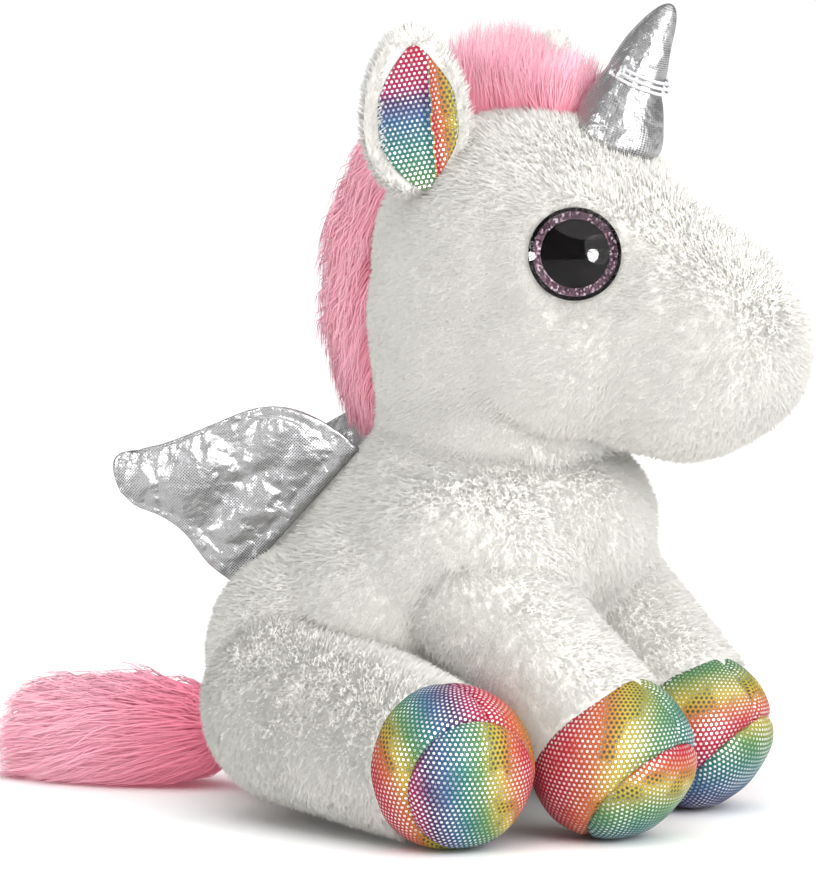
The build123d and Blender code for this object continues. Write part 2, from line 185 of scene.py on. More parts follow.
class Shader:
    """A material with one Principled surface, built up from expressions."""

    def __init__(self, name, **surface):
        self.material = bpy.data.materials.new(name)
        self.material.use_nodes = True
        self.tree = self.material.node_tree
        self.tree.nodes.clear()
        self.surface = self.tree.nodes.new("ShaderNodeBsdfPrincipled")
        output = self.tree.nodes.new("ShaderNodeOutputMaterial")
        self.tree.links.new(self.surface.outputs[0], output.inputs["Surface"])
        self.set(**surface)

    def set(self, **surface):
        """Sets or links sockets of the surface; an underscore stands for a space."""
        for name, value in surface.items():
            self.plug(self.surface.inputs[name.replace("_", " ")], value)

    def plug(self, socket, value):
        if isinstance(value, Value):
            self.tree.links.new(value.socket, socket)
        elif socket.type == "RGBA":
            socket.default_value = (*value[:3], 1)
        else:
            socket.default_value = value

    def node(self, kind, settings=None, sockets=None, output=0):
        """Any node: its settings first, then its sockets' values or links."""
        made = self.tree.nodes.new("ShaderNode" + kind)
        for key, value in (settings or {}).items():
            if key == "stops":
                ramp = made.color_ramp
                while len(ramp.elements) < len(value):
                    ramp.elements.new(0.5)
                for stop, (place, colour) in zip(ramp.elements, value):
                    stop.position, stop.color = place, (*colour[:3], 1)
            else:
                setattr(made, key, value)
        for key, value in (sockets or {}).items():
            self.plug(made.inputs[key], value)
        return Value(self, made.outputs[output])

    def maths(self, operation, *values):
        return self.node("Math", {"operation": operation}, dict(enumerate(values)))

    def mix(self, factor, a, b):
        return self.node("Mix", {"data_type": "RGBA"}, {0: factor, 6: a, 7: b}, output=2)

    def step(self, value, low, high):
        """0 below low, 1 above high and smooth between them."""
        settings = {"interpolation_type": "SMOOTHSTEP"}
        return self.node("MapRange", settings, {0: value, 1: low, 2: high})

    def place(self):
        return self.node("TexCoord", output=3)

    def map(self, name):
        return self.node("UVMap", {"uv_map": name})

    def split(self, vector, kind="SeparateXYZ"):
        made = self.node(kind, None, {0: vector})
        return [Value(self, output) for output in made.socket.node.outputs]

    def noise(self, vector, scale, detail=3, roughness=0.5):
        sockets = {"Vector": vector, "Scale": scale, "Detail": detail, "Roughness": roughness}
        return self.node("TexNoise", None, sockets)

    def bump(self, height, distance, strength=1.0):
        sockets = {"Strength": strength, "Distance": distance, "Height": height}
        self.set(Normal=self.node("Bump", None, sockets))


def scaled(colour, share):
    return tuple(min(1, channel * share) for channel in colour)


# ================================================================ materials
def plush_cloth(look):
    """The knit ground of the white plush, mottled where the pile lies differently."""
    s = Shader("plush_cloth", Roughness=0.95, Sheen_Weight=0.2, Specular_IOR_Level=0.15)
    place = s.place()
    patches = s.noise(place, 42, 3, 0.55)
    tufts = s.noise(place, 750, 2, 0.6)
    tone = s.step(patches, 0.3, 0.7) * 0.5 + tufts * 0.5
    s.set(Base_Color=s.mix(tone, scaled(look.white, 0.90), scaled(look.white, 1.03)))
    s.bump(tufts + patches * 0.6, 0.0008, 0.7)
    return s.material


def strand_shader(name, stops, dull, **surface):
    """Hair whose colour runs from root to tip, a little different on every lock."""
    s = Shader(name, **surface)
    tone, along, _ = s.split(s.map("strand"))
    colour = s.node("ValToRGB", {"stops": stops}, {0: along})
    darker = s.node("Mix", {"data_type": "RGBA", "blend_type": "MULTIPLY"},
                    {0: 1 - tone, 6: colour, 7: dull}, output=2)
    s.set(Base_Color=darker)
    return s.material


def pile_hair(look):
    # A little darker at the root and lighter at the tip: painted shade deep in the pile and painted
    # light on the tips.
    stops = [(0, scaled(look.white, 0.98)), (0.5, look.white), (1, scaled(look.white, 1.03))]
    # The faint white emission is painted light that lifts the shade between the tufts.
    return strand_shader("white_pile", stops, (0.97, 0.96, 0.95), Roughness=0.9,
                         Specular_IOR_Level=0.0, Emission_Color=(1, 0.985, 0.94),
                         Emission_Strength=0.03)


def pink_hair(look):
    # Deep pink at the root and pale at the tip: partly the hair's own colour and partly painted shade
    # deep among the locks.
    stops = [(0, look.root), (0.45, look.middle), (1, look.tip)]
    # The pink emission is painted light: the hair glows a little, brighter than its lamps make it.
    return strand_shader("pink_hair", stops, (0.88, 0.50, 0.60), Roughness=0.7,
                         Specular_IOR_Level=0.04, Emission_Color=(1, 0.30, 0.42),
                         Emission_Strength=0.16)


def pink_cloth(look):
    s = Shader("pink_cloth", Roughness=0.9, Sheen_Weight=0.4)
    tufts = s.noise(s.place(), 500, 3, 0.6)
    # Deep pink from the hair's root, mottled at random: partly the cloth's own colour and partly
    # painted shade under the hair.
    s.set(Base_Color=s.mix(tufts, scaled(look.root, 0.75), look.root))
    s.bump(tufts, 0.001, 0.8)
    return s.material


RAINBOW = [
    (0.00, (0.52, 0.010, 0.050)), (0.09, (0.54, 0.022, 0.038)), (0.17, (0.62, 0.13, 0.03)),
    (0.27, (0.60, 0.46, 0.05)), (0.40, (0.10, 0.26, 0.07)), (0.53, (0.02, 0.19, 0.16)),
    (0.66, (0.03, 0.11, 0.25)), (0.79, (0.07, 0.025, 0.12)), (0.90, (0.36, 0.012, 0.11)),
    (1.00, (0.52, 0.010, 0.050)),
]
YELLOW_AT = 0.26


def rainbow_foil(look):
    """Foil cloth: mirror dots in a hexagonal grid on a print that runs through the rainbow.

    The cloth map gives places on the cloth in metres, and the print map the colour."""
    s = Shader("rainbow_foil", Specular_IOR_Level=0.08)
    x, y, _ = s.split(s.map("cloth"))
    x, y = x / look.dot_pitch, y / (look.dot_pitch * math.sqrt(3))

    def spacing(shift):
        """Distance from the nearest dot of a rectangular grid."""
        across = s.maths("FRACT", x + shift) - 0.5
        up = (s.maths("FRACT", y + shift) - 0.5) * math.sqrt(3)
        return s.maths("SQRT", across * across + up * up)

    away = s.maths("MINIMUM", spacing(0), spacing(0.5))
    dot = 1 - s.step(away, 0.24, 0.29)
    ring = s.step(away, 0.26, 0.34) * (1 - s.step(away, 0.38, 0.50))
    along, _, _ = s.split(s.map("print"))
    place = s.place()
    drift = s.noise(place, 30, 2) - 0.5
    along = s.maths("FRACT", along + drift * 0.10)
    colour = s.node("ValToRGB", {"stops": RAINBOW}, {0: along})
    # The glints are white specks painted into the print colour: painted glints.
    grains = s.noise(place, 2600, 1)
    glints = s.step(grains, 0.60, 0.72)
    print_with_glints = s.mix(glints * 0.30, colour, (0.95, 0.92, 0.90))
    ground = s.mix(ring * 0.60, print_with_glints, (0.02, 0.018, 0.022))
    # In patches of the yellow band the mirror dots are painted near black: painted dark reflection.
    yellow = 1 - s.step(s.maths("ABSOLUTE", along - YELLOW_AT), 0.05, 0.11)
    painted_dark_reflection = yellow * s.step(s.noise(place, 45, 2), 0.44, 0.52)
    # The dots' pale tint is partly their own silver and partly painted reflection, whiter in patches.
    pale = s.mix(0.22 + s.step(s.noise(place, 70, 2), 0.35, 0.6) * 0.5, colour, (1, 1, 1))
    s.set(Base_Color=s.mix(dot, ground, s.mix(painted_dark_reflection * 0.95, pale, (0.03, 0.03, 0.03))))
    s.set(Metallic=dot * 0.30, Roughness=0.48 - dot * 0.14)
    s.bump(dot * 0.6 + grains * 0.5 + s.noise(place, 160, 2) * 1.5, 0.0004, 0.5)
    return s.material


def silver_foil(look):
    """Silver foil cloth with a diagonal mesh of dark micro dots that shows in patches: the dots are
    painted darker along the creases, as painted shade.
    """
    s = Shader("silver_foil", Specular_IOR_Level=0.6)
    x, y, _ = s.split(s.map("cloth"))
    turn = look.mesh_pitch * math.sqrt(2)
    a, b = (x + y) / turn, (x - y) / turn

    def wave(value):
        return s.maths("COSINE", value * (2 * math.pi))

    holes = s.step(wave(a) * wave(b), 0.05, 0.45)
    place = s.place()
    creases = s.noise(place, 48, 3, 0.6)
    # shade: patches along the creases where the micro dots are painted darker, painted shade.
    shade = s.step(creases, 0.44, 0.62)
    grains = s.noise(place, 3000, 1)
    bright = s.mix(s.step(grains, 0.35, 0.65), scaled(look.silver, 0.80), scaled(look.silver, 1.12))
    s.set(Base_Color=s.mix(holes * (shade * 0.60 + 0.35), bright, (0.03, 0.03, 0.035)))
    s.set(Metallic=0.80, Roughness=0.32 + shade * 0.12)
    s.bump(creases * 2.6 + s.noise(place, 230, 2) * 0.9 + grains * 0.1, 0.0014, 0.7)
    return s.material


def black_moulding():
    s = Shader("black_moulding", Roughness=0.3, Specular_IOR_Level=0.0)
    swirl = s.noise(s.place(), 260, 2)
    s.set(Base_Color=s.mix(swirl, (0.002, 0.002, 0.002), (0.006, 0.004, 0.005)))
    return s.material


def glitter():
    """Mauve glitter: flakes that each catch the light their own way; the near-white flakes are painted
    glints.
    """
    s = Shader("glitter", Metallic=0.2, Roughness=0.4, Specular_IOR_Level=0.2)
    flakes = s.node("TexVoronoi", {"feature": "F1"}, {"Vector": s.place(), "Scale": 1250}, output=1)
    red, green, blue = s.split(flakes, "SeparateColor")
    dark = s.mix(green, (0.03, 0.012, 0.022), (0.20, 0.10, 0.145))
    # Near-white flakes: painted glints.
    s.set(Base_Color=s.mix(s.step(red, 0.84, 0.90), dark, (0.95, 0.80, 0.88)))
    s.bump(blue, 0.0005, 0.9)
    return s.material


def clear_dome():
    s = Shader("clear_dome", Base_Color=(1, 1, 1), Transmission_Weight=1.0, IOR=1.24)
    s.set(Roughness=0.004 + s.noise(s.place(), 900, 2) * 0.008)
    return s.material


def plain_finish(name, colour, scale):
    """The eyes' washers and the horn's thread: one colour with a fine grain."""
    s = Shader(name, Roughness=0.9)
    grain = s.noise(s.place(), scale, 3, 0.65)
    s.set(Base_Color=s.mix(grain, scaled(colour, 0.82), colour))
    s.bump(grain, 0.0005, 0.6)
    return s.material


def stage_floor():
    s = Shader("stage_floor", Roughness=0.85)
    speckle = s.noise(s.place(), 60, 2)
    s.set(Base_Color=s.mix(speckle, (0.93, 0.93, 0.93), (0.945, 0.945, 0.945)))
    return s.material


_made = {}


def material(name):
    """Each material is made once, from the settings in the scene."""
    scene = bpy.context.scene
    makers = {
        "plush_cloth": lambda: plush_cloth(scene.unicorn_plush),
        "white_pile": lambda: pile_hair(scene.unicorn_plush),
        "pink_hair": lambda: pink_hair(scene.unicorn_hair),
        "pink_cloth": lambda: pink_cloth(scene.unicorn_hair),
        "rainbow_foil": lambda: rainbow_foil(scene.unicorn_foil),
        "silver_foil": lambda: silver_foil(scene.unicorn_foil),
        "black_moulding": black_moulding,
        "glitter": glitter,
        "clear_dome": clear_dome,
        "washer": lambda: plain_finish("washer", (0.88, 0.88, 0.88), 200),
        "thread": lambda: plain_finish("thread", (0.80, 0.80, 0.82), 2200),
        "stage_floor": stage_floor,
    }
    if name not in _made:
        _made[name] = makers[name]()
    return _made[name]


# ================================================================ mesh helpers
def add_object(name, mesh, material_name):
    mesh.materials.append(material(material_name))
    made = bpy.data.objects.new(name, mesh)
    bpy.context.scene.collection.objects.link(made)
    return made


def mesh_from(bm, name):
    mesh = bpy.data.meshes.new(name)
    bm.to_mesh(mesh)
    bm.free()
    return mesh


def apply_modifiers(made):
    graph = bpy.context.evaluated_depsgraph_get()
    mesh = bpy.data.meshes.new_from_object(made.evaluated_get(graph))
    old = made.data
    made.modifiers.clear()
    made.data = mesh
    bpy.data.meshes.remove(old)


def shade_smooth(mesh):
    mesh.polygons.foreach_set("use_smooth", [True] * len(mesh.polygons))
    mesh.update()


def outward(mesh):
    """Turns every face so that it points out of the piece."""
    bm = bmesh.new()
    bm.from_mesh(mesh)
    bmesh.ops.recalc_face_normals(bm, faces=bm.faces)
    bm.to_mesh(mesh)
    bm.free()


def points_of(mesh):
    flat = np.empty(len(mesh.vertices) * 3)
    mesh.vertices.foreach_get("co", flat)
    return flat.reshape(-1, 3)


def put_points(mesh, points):
    mesh.vertices.foreach_set("co", points.ravel())
    mesh.update()


def settle(made, body, replaces=()):
    """Ties a finished piece to its body and the nodes that it stands for."""
    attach(made, body)
    if replaces:
        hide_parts(*replaces)


def dress(node, name):
    """Gives a node of the frame its material."""
    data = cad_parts[node].data
    data.materials.clear()
    data.materials.append(material(name))


def eased(value, low, high):
    t = np.clip((value - low) / (high - low), 0, 1)
    return t * t * (3 - 2 * t)


def chain(start, end, r_start, r_end, count, shape=(1, 1, 1)):
    """Balls in a row, each with its middle and its three radii, in millimetres."""
    for k in range(count):
        t = k / max(1, count - 1)
        radius = r_start + (r_end - r_start) * t
        yield start.lerp(end, t), tuple(radius * s for s in shape)


def soft_form(name, balls, voxel, rounds, material_name):
    """Balls run together into one smooth stuffed form."""
    bm = bmesh.new()
    for middle, radii in balls:
        grown = Matrix.Translation(middle * MM) @ Matrix.Diagonal((*(r * MM for r in radii), 1))
        bmesh.ops.create_icosphere(bm, subdivisions=4, radius=1, matrix=grown)
    made = add_object(name, mesh_from(bm, name), material_name)
    remesh = made.modifiers.new("skin", "REMESH")
    remesh.mode, remesh.voxel_size = "VOXEL", voxel
    smooth = made.modifiers.new("ease", "SMOOTH")
    smooth.factor, smooth.iterations = 0.5, rounds
    apply_modifiers(made)
    shade_smooth(made.data)
    return made


def floor_flat(points, height=0.0006, reach=0.006):
    """Cloth that would go below the floor lies flat on it, with a round edge."""
    z = points[:, 2] - height
    near = z < reach
    t = np.clip(z[near] / reach, -1.5, 1)
    points[near, 2] = height + reach * np.where(t > -1, (t + 1) ** 2 / 4, 0)
    return points


def rumple(mesh, depth, size, seed):
    """Uneven stuffing: the mesh's points, moved in and out a little."""
    points = points_of(mesh)
    shift = Vector((seed * 7.3, seed * 3.1, seed * 5.7))
    amounts = [noise.noise(Vector(p) / size + shift) for p in points]
    return points + vertex_normals(mesh) * (np.array(amounts) * depth)[:, None]


def vertex_normals(mesh):
    flat = np.empty(len(mesh.vertices) * 3)
    mesh.vertex_normals.foreach_get("vector", flat)
    return flat.reshape(-1, 3)


def triangles_of(mesh):
    """The three vertices of each triangle, as numbers."""
    mesh.calc_loop_triangles()
    corners = np.empty(len(mesh.loop_triangles) * 3, int)
    mesh.loop_triangles.foreach_get("vertices", corners)
    return corners.reshape(-1, 3)


# ================================================================ hair
LOCK_BULGE = 0.35           # how much thicker a lock is halfway up
DEEPEST_TONE = 0.55         # tone of the darkest locks
MAP_RIM = 0.02              # left bare at each edge of the colour map
OUTWARD_SHADE = 0.9         # share of the shading that follows the surface under a lock
SWIRLS = 38                 # swirls of the pile in a metre
SWIRL_SEED = 1              # the noise takes its own from the clock unless it is given one
ROOT_DEPTH = 0.0004         # how far the pile's roots sit in the cloth
PILE_LEAN = 0.55            # how far the pile is combed over
UNDER_EDGE = 3              # how far the pile runs on under the next piece, in millimetres


def locks(count):
    return int(count * (1))


def scatter(mesh, count, rng):
    """Even random places on a mesh, and the outward direction at each."""
    corners, normals = triangles_of(mesh), vertex_normals(mesh)
    a, b, c = points_of(mesh)[corners.T]
    area = np.linalg.norm(np.cross(b - a, c - a), axis=1) / 2
    chosen = rng.choice(len(corners), size=count, p=area / area.sum())
    u, v = rng.random((2, count, 1))
    over = (u + v) > 1
    u, v = np.where(over, 1 - u, u), np.where(over, 1 - v, v)
    where = a[chosen] + u * (b[chosen] - a[chosen]) + v * (c[chosen] - a[chosen])
    way = normals[corners[chosen]].mean(axis=1)
    return where, unit(way)


def surface_of(mesh):
    a, b, c = points_of(mesh)[triangles_of(mesh).T]
    return np.linalg.norm(np.cross(b - a, c - a), axis=1).sum() / 2


def unit(vectors):
    return vectors / np.maximum(np.linalg.norm(vectors, axis=-1, keepdims=True), 1e-9)


def strand_shape(rings):
    """One tapered lock, one high, with the number of rings given between its ends."""
    bm = bmesh.new()
    raised = Matrix.Translation((0, 0, 0.5))
    bmesh.ops.create_cone(bm, segments=3, radius1=1, radius2=0, depth=1, matrix=raised)
    bmesh.ops.remove_doubles(bm, verts=bm.verts, dist=1e-4)
    rising = [e for e in bm.edges if abs(e.verts[0].co.z - e.verts[1].co.z) > 0.5]
    if rings:
        bmesh.ops.subdivide_edges(bm, edges=rising, cuts=rings, use_grid_fill=True)
    bmesh.ops.triangulate(bm, faces=bm.faces)
    return mesh_from(bm, "strand")


def grow(name, roots, out, first, last, radius, rings, rng, material_name, paler=1.0):
    """Locks from their roots: each leaves along first and ends at last, both as steps.

    They are shaded mostly along out, as soft pile is; paler is 0 where they are deepest."""
    shape = strand_shape(rings)
    form = points_of(shape)
    faces = np.array([p.vertices[:] for p in shape.polygons])
    bpy.data.meshes.remove(shape)
    count = len(roots)
    height = np.clip(form[:, 2], 0, 1)
    bulge = 1 + LOCK_BULGE * np.sin(height * math.pi)
    along = unit(last)
    side = unit(np.cross(along, rng.normal(size=(count, 3))))
    other = np.cross(along, side)
    t = height[None, :, None]
    middle = roots[:, None] + 2 * t * (1 - t) * first[:, None] + t * t * last[:, None]
    radius = np.broadcast_to(radius, (count,))[:, None, None]
    wide = radius * (form[:, 0] * bulge)[None, :, None] * side[:, None]
    wide += radius * (form[:, 1] * bulge)[None, :, None] * other[:, None]
    points = (middle + wide).reshape(-1, 3)
    corners = (faces[None] + (np.arange(count) * len(form))[:, None, None]).reshape(-1)
    mesh = bpy.data.meshes.new(name)
    mesh.vertices.add(len(points))
    mesh.vertices.foreach_set("co", points.ravel())
    mesh.loops.add(len(corners))
    mesh.loops.foreach_set("vertex_index", corners)
    mesh.polygons.add(len(corners) // 3)
    mesh.polygons.foreach_set("loop_start", np.arange(0, len(corners), 3))
    mesh.update(calc_edges=True)
    mesh.validate()
    tone = np.repeat(rng.uniform(DEEPEST_TONE, 1, count) * paler, len(form))
    spots = MAP_RIM + (1 - 2 * MAP_RIM) * np.stack([tone, np.tile(height, count)], 1)
    for layer in ("strand", "OFBake"):
        mesh.uv_layers.new(name=layer).data.foreach_set("uv", spots[corners].ravel())
    shade_smooth(mesh)
    soft = np.repeat(out, len(form), axis=0) * OUTWARD_SHADE
    soft += vertex_normals(mesh) * (1 - OUTWARD_SHADE)
    mesh.normals_split_custom_set_from_vertices(unit(soft))
    return add_object(name, mesh, material_name)


def inside_any(points, balls, margin):
    """Which points lie inside one of the balls by more than the margin."""
    hidden = np.zeros(len(points), bool)
    for middle, radii in balls:
        grown = (np.array(radii) - margin) * MM
        hidden |= (((points - np.array(middle) * MM) / grown) ** 2).sum(1) < 1
    return hidden


def pile(name, body, base, seed, hidden=(), comb=(0.1, 0.35, -0.9), keep=None, share=1.0):
    """Short white pile over a piece, combed down and back."""
    look = bpy.context.scene.unicorn_plush
    rng = np.random.default_rng(seed)
    area = surface_of(base.data) / MM ** 2
    roots, out = scatter(base.data, locks(area * look.pile_density * share), rng)
    shown = ~inside_any(roots, hidden, UNDER_EDGE)
    if keep is not None:
        shown &= keep(roots)
    roots, out = roots[shown], out[shown]
    noise.seed_set(SWIRL_SEED)
    swirl = np.array([noise.noise_vector(Vector(p) * SWIRLS) for p in roots])
    way = np.array(comb) + 0.3 * swirl + rng.normal(scale=0.2, size=roots.shape)
    flat = unit(way - out * (way * out).sum(1, keepdims=True))
    length = look.pile_length * rng.uniform(0.75, 1.2, (len(roots), 1))
    lift = rng.uniform(0.75, 1.05, (len(roots), 1))
    last = unit(out * lift + flat * PILE_LEAN) * length
    last[:, 2] = np.maximum(last[:, 2], 0.0003 - roots[:, 2])
    first = out * length * 0.45
    first[:, 2] = np.maximum(first[:, 2], -roots[:, 2] * 0.5)
    roots = roots - out * ROOT_DEPTH
    made = grow(name, roots, out, first, last, look.pile_width, 0, rng, "white_pile")
    settle(made, body)


def clumped(last, roots, groups, amount, rng):
    """Locks lean towards the nearest of a few leading locks."""
    leaders = rng.choice(len(roots), size=groups, replace=False)
    distance = np.linalg.norm(roots[:, None] - roots[None, leaders], axis=2)
    leader = leaders[distance.argmin(1)]
    ends = roots + last
    return last + amount * (ends[leader] - ends)


# ================================================================ stage
TOY_MIDDLE = Vector((0.0033, -0.0062, 0.1408))
FILL_SHARE = 0.5            # of the key light's power
# Softboxes that show only in gloss: name, azimuth and elevation in degrees, size
GLEAMS = [("gleam", -30, 7, 0.34), ("side gleam", -118, 6, 0.24)]
GLEAM_DISTANCE = 1.2
BACKDROP = 1.1              # brightness of the backdrop as the camera sees it


class UNICORN_OT_stage(bpy.types.Operator):
    """Sets up the floor, the lights and the camera"""

    bl_idname = "unicorn.stage"
    bl_label = "Stage"

    def execute(self, context):
        look = context.scene.unicorn_stage
        bm = bmesh.new()
        bmesh.ops.create_grid(bm, x_segments=1, y_segments=1, size=6)
        floor = add_object("floor", mesh_from(bm, "floor"), "stage_floor")
        self.surroundings(context.scene, look)
        softbox("key", -22, 14, 1.3, 0.9, look.key)
        softbox("fill", 150, 25, 1.5, 1.0, look.key * FILL_SHARE)
        for name, azimuth, elevation, size in GLEAMS:
            gleam = softbox(name, azimuth, elevation, GLEAM_DISTANCE, size, look.gleam * size ** 2)
            gleam.visible_diffuse = False
        sun = bpy.data.lights.new("overhead", "SUN")
        sun.energy, sun.angle = look.overhead, math.radians(80)
        overhead = bpy.data.objects.new("overhead", sun)
        context.scene.collection.objects.link(overhead)
        above = direction(math.radians(-30), math.radians(66))
        overhead.rotation_euler = above.to_track_quat("Z", "Y").to_euler()
        away = direction(look.azimuth, look.elevation)
        camera = bpy.data.objects.new("camera", bpy.data.cameras.new("camera"))
        context.scene.collection.objects.link(camera)
        camera.location = TOY_MIDDLE + away * look.distance
        camera.rotation_euler = (-away).to_track_quat("-Z", "Y").to_euler()
        camera.data.sensor_fit = "HORIZONTAL"
        camera.data.lens = camera.data.sensor_width * look.distance / look.width
        camera.data.clip_start = 0.05
        context.scene.camera = camera
        return {"FINISHED"}

    def surroundings(self, scene, look):
        """Even light from all sides in front of a brighter white backdrop; shiny pieces mirror
        a darker room, so that their softboxes stand out."""
        world = bpy.data.worlds.new("studio")
        scene.world = world
        world.use_nodes = True
        nodes, links = world.node_tree.nodes, world.node_tree.links
        background = nodes["Background"]
        background.inputs["Color"].default_value = (1, 1, 1, 1)
        seen = nodes.new("ShaderNodeLightPath")
        strength = nodes.new("ShaderNodeMapRange")
        indirect = nodes.new("ShaderNodeMapRange")
        indirect.inputs["To Min"].default_value = look.mirrored
        indirect.inputs["To Max"].default_value = look.ambient
        links.new(seen.outputs["Is Diffuse Ray"], indirect.inputs["Value"])
        links.new(indirect.outputs["Result"], strength.inputs["To Min"])
        strength.inputs["To Max"].default_value = BACKDROP
        links.new(seen.outputs["Is Camera Ray"], strength.inputs["Value"])
        links.new(strength.outputs["Result"], background.inputs["Strength"])
        scene.view_settings.view_transform = "Standard"


def direction(azimuth, elevation):
    """From the toy towards a place around it; azimuth 0 is in front of its face."""
    flat = math.cos(elevation)
    return Vector((math.sin(azimuth) * flat, -math.cos(azimuth) * flat, math.sin(elevation)))


def softbox(name, azimuth, elevation, distance, size, power):
    """A round softbox that looks at the toy, placed by its angles in degrees."""
    light = bpy.data.lights.new(name, "AREA")
    light.shape, light.size, light.energy = "DISK", size, power
    made = bpy.data.objects.new(name, light)
    bpy.context.scene.collection.objects.link(made)
    away = direction(math.radians(azimuth), math.radians(elevation))
    made.location = TOY_MIDDLE + away * distance
    made.rotation_euler = away.to_track_quat("Z", "Y").to_euler()
    made.visible_camera = False
    return made


# ================================================================ body
def torso_balls():
    yield from chain(SEAT + Vector((0, -4, 0)), CHEST, SEAT_R - 1, CHEST_R, 6)
    yield Vector((0, 0, 46)), (60, 57, 46)
    yield Vector((0, -53, 112)), (47, 54, 40)
    for x in (-1, 1):
        yield Vector((28 * x, -48, 96)), (45, 47, 44)
        yield Vector((36 * x, -22, 78)), (40, 42, 40)
        yield Vector((32 * x, 9, 60)), (44, 46, 42)


def neck_balls():
    yield from chain(Vector((0, -47, 124)), Vector((0, -52, 178)), 47, 47, 5)


def fore_balls(side):
    yield from chain(on(side, Vector((-36, -48, 98))), on(side, FORE), 31, 29, 3)
    yield from chain(on(side, FORE), strayed(side, Vector((-47.5, -108, 40)), 0.8), 29.5, 28.5, 6)


def hind_balls(side):
    yield on(side, Vector((-42, 11, 46))), (38, 36, 40)
    yield from chain(on(side, HIND + Vector((3, -2, 2))), on(side, Vector((-92, -64, 30.5))), 36, 29, 7)


def head_balls():
    yield from chain(SKULL, MUZZLE + Vector((0, 0, 2.5)), SKULL_R, MUZZLE_R - 2, 9, (0.965, 1, 1))
    yield MUZZLE + Vector((0, -1, 2)), (42, 45, 42)
    yield from chain(Vector((0, -50, 170)), Vector((0, -54, 192)), 49, 54, 3)
    for x in (-1, 1):
        yield Vector((24 * x, -84, 184)), (33, 40, 38)


class UNICORN_OT_torso(bpy.types.Operator):
    """Makes the stuffed torso and the neck, with their pile"""

    bl_idname = "unicorn.torso"
    bl_label = "Torso and neck"

    def execute(self, context):
        voxel = context.scene.unicorn_plush.voxel
        legs = [b for side in SIDES for b in (*fore_balls(side), *hind_balls(side))]
        torso = soft_form("torso_skin", torso_balls(), voxel, 14, "plush_cloth")
        points = rumple(torso.data, 0.0016, 0.03, 1)
        put_points(torso.data, floor_flat(points))
        inside = ["torso_cover", "torso_stuffing", "pellet_bag"]
        settle(torso, "torso", inside)
        pile("torso_pile", "torso", torso, 11, hidden=[*legs, *neck_balls()], share=0.85)
        neck = soft_form("neck_skin", neck_balls(), voxel, 10, "plush_cloth")
        settle(neck, "neck", ["neck_cover", "neck_stuffing"])
        hidden = [*torso_balls(), *head_balls()]
        pile("neck_pile", "neck", neck, 12, hidden=hidden)
        return {"FINISHED"}


# ================================================================ head
# In metres from the eye's axis and over its plane
EYE_SEAT_R, EYE_SEAT_EDGE, EYE_SEAT_DEPTH, EYE_SEAT_REACH = 0.0175, 0.032, 0.0004, 0.02
EYE_CLEAR_R, EYE_CLEAR_REACH = 0.0168, 0.015


def eye_distance(points, side):
    """Height over the eye's plane, distance from its axis and the way that it looks."""
    look = np.array(on(side, EYE_LOOK).normalized())
    away = points - np.array(on(side, EYE)) * MM
    height = away @ look
    return height, np.linalg.norm(away - height[:, None] * look, axis=1), look


class UNICORN_OT_head(bpy.types.Operator):
    """Makes the stuffed head with seats for the eyes, and its pile"""

    bl_idname = "unicorn.head"
    bl_label = "Head"

    def execute(self, context):
        voxel = context.scene.unicorn_plush.voxel
        head = soft_form("head_skin", head_balls(), voxel, 12, "plush_cloth")
        points = rumple(head.data, 0.0014, 0.032, 2)
        for side in SIDES:
            height, away, look = eye_distance(points, side)
            near = (1 - eased(away, EYE_SEAT_R, EYE_SEAT_EDGE)) * (height > -EYE_SEAT_REACH)
            points += ((-EYE_SEAT_DEPTH - height) * near)[:, None] * look
        put_points(head.data, points)
        covers = ["head_panel_right", "head_panel_left", "head_gusset", "head_stuffing"]
        settle(head, "head", covers)

        def clear_of_eyes(roots):
            shown = np.ones(len(roots), bool)
            for side in SIDES:
                height, away, _ = eye_distance(roots, side)
                shown &= (away > EYE_CLEAR_R) | (height < -EYE_CLEAR_REACH)
            return shown

        pile("head_pile", "head", head, 13, hidden=list(neck_balls()), keep=clear_of_eyes,
             comb=(0.0, 0.75, -0.55))
        return {"FINISHED"}


class UNICORN_OT_eyes(bpy.types.Operator):
    """Gives the moulded eyes their black, glitter and clear dome"""

    bl_idname = "unicorn.eyes"
    bl_label = "Eyes"

    def execute(self, context):
        looks = {"back": "black_moulding", "pupil": "black_moulding", "glitter": "glitter",
                 "lens": "clear_dome", "washer": "washer"}
        for side in SIDES:
            for part, name in looks.items():
                dress(f"eye_{part}_{side}", name)
        return {"FINISHED"}


# ================================================================ ears
def ear_axes(side):
    """Across the ear, out of its front and up it."""
    up = on(side, EAR_UP).normalized()
    across = up.cross(on(side, EAR_FACE)).normalized()
    return across, across.cross(up), up


EAR_W, EAR_H, EAR_T = 43.0, 62.0, 9.0       # width, height and thickness, in millimetres
EAR_FOLD = 5                # how far the lining's fold lies from its middle, in millimetres


def ear_width(height):
    """Half width of the ear, in millimetres, for a share of its height."""
    h = np.clip(height, 0, 1)
    return EAR_W / 2 * np.sqrt(np.clip(4 * h * (1 - h), 0, 1)) * (1.10 - 0.28 * h)


def ear_cup(across, height):
    """How far the ear's middle surface stands out, in millimetres."""
    return 0.011 * across ** 2 - 3.0 * np.sin(height * math.pi) + 3.0 * height


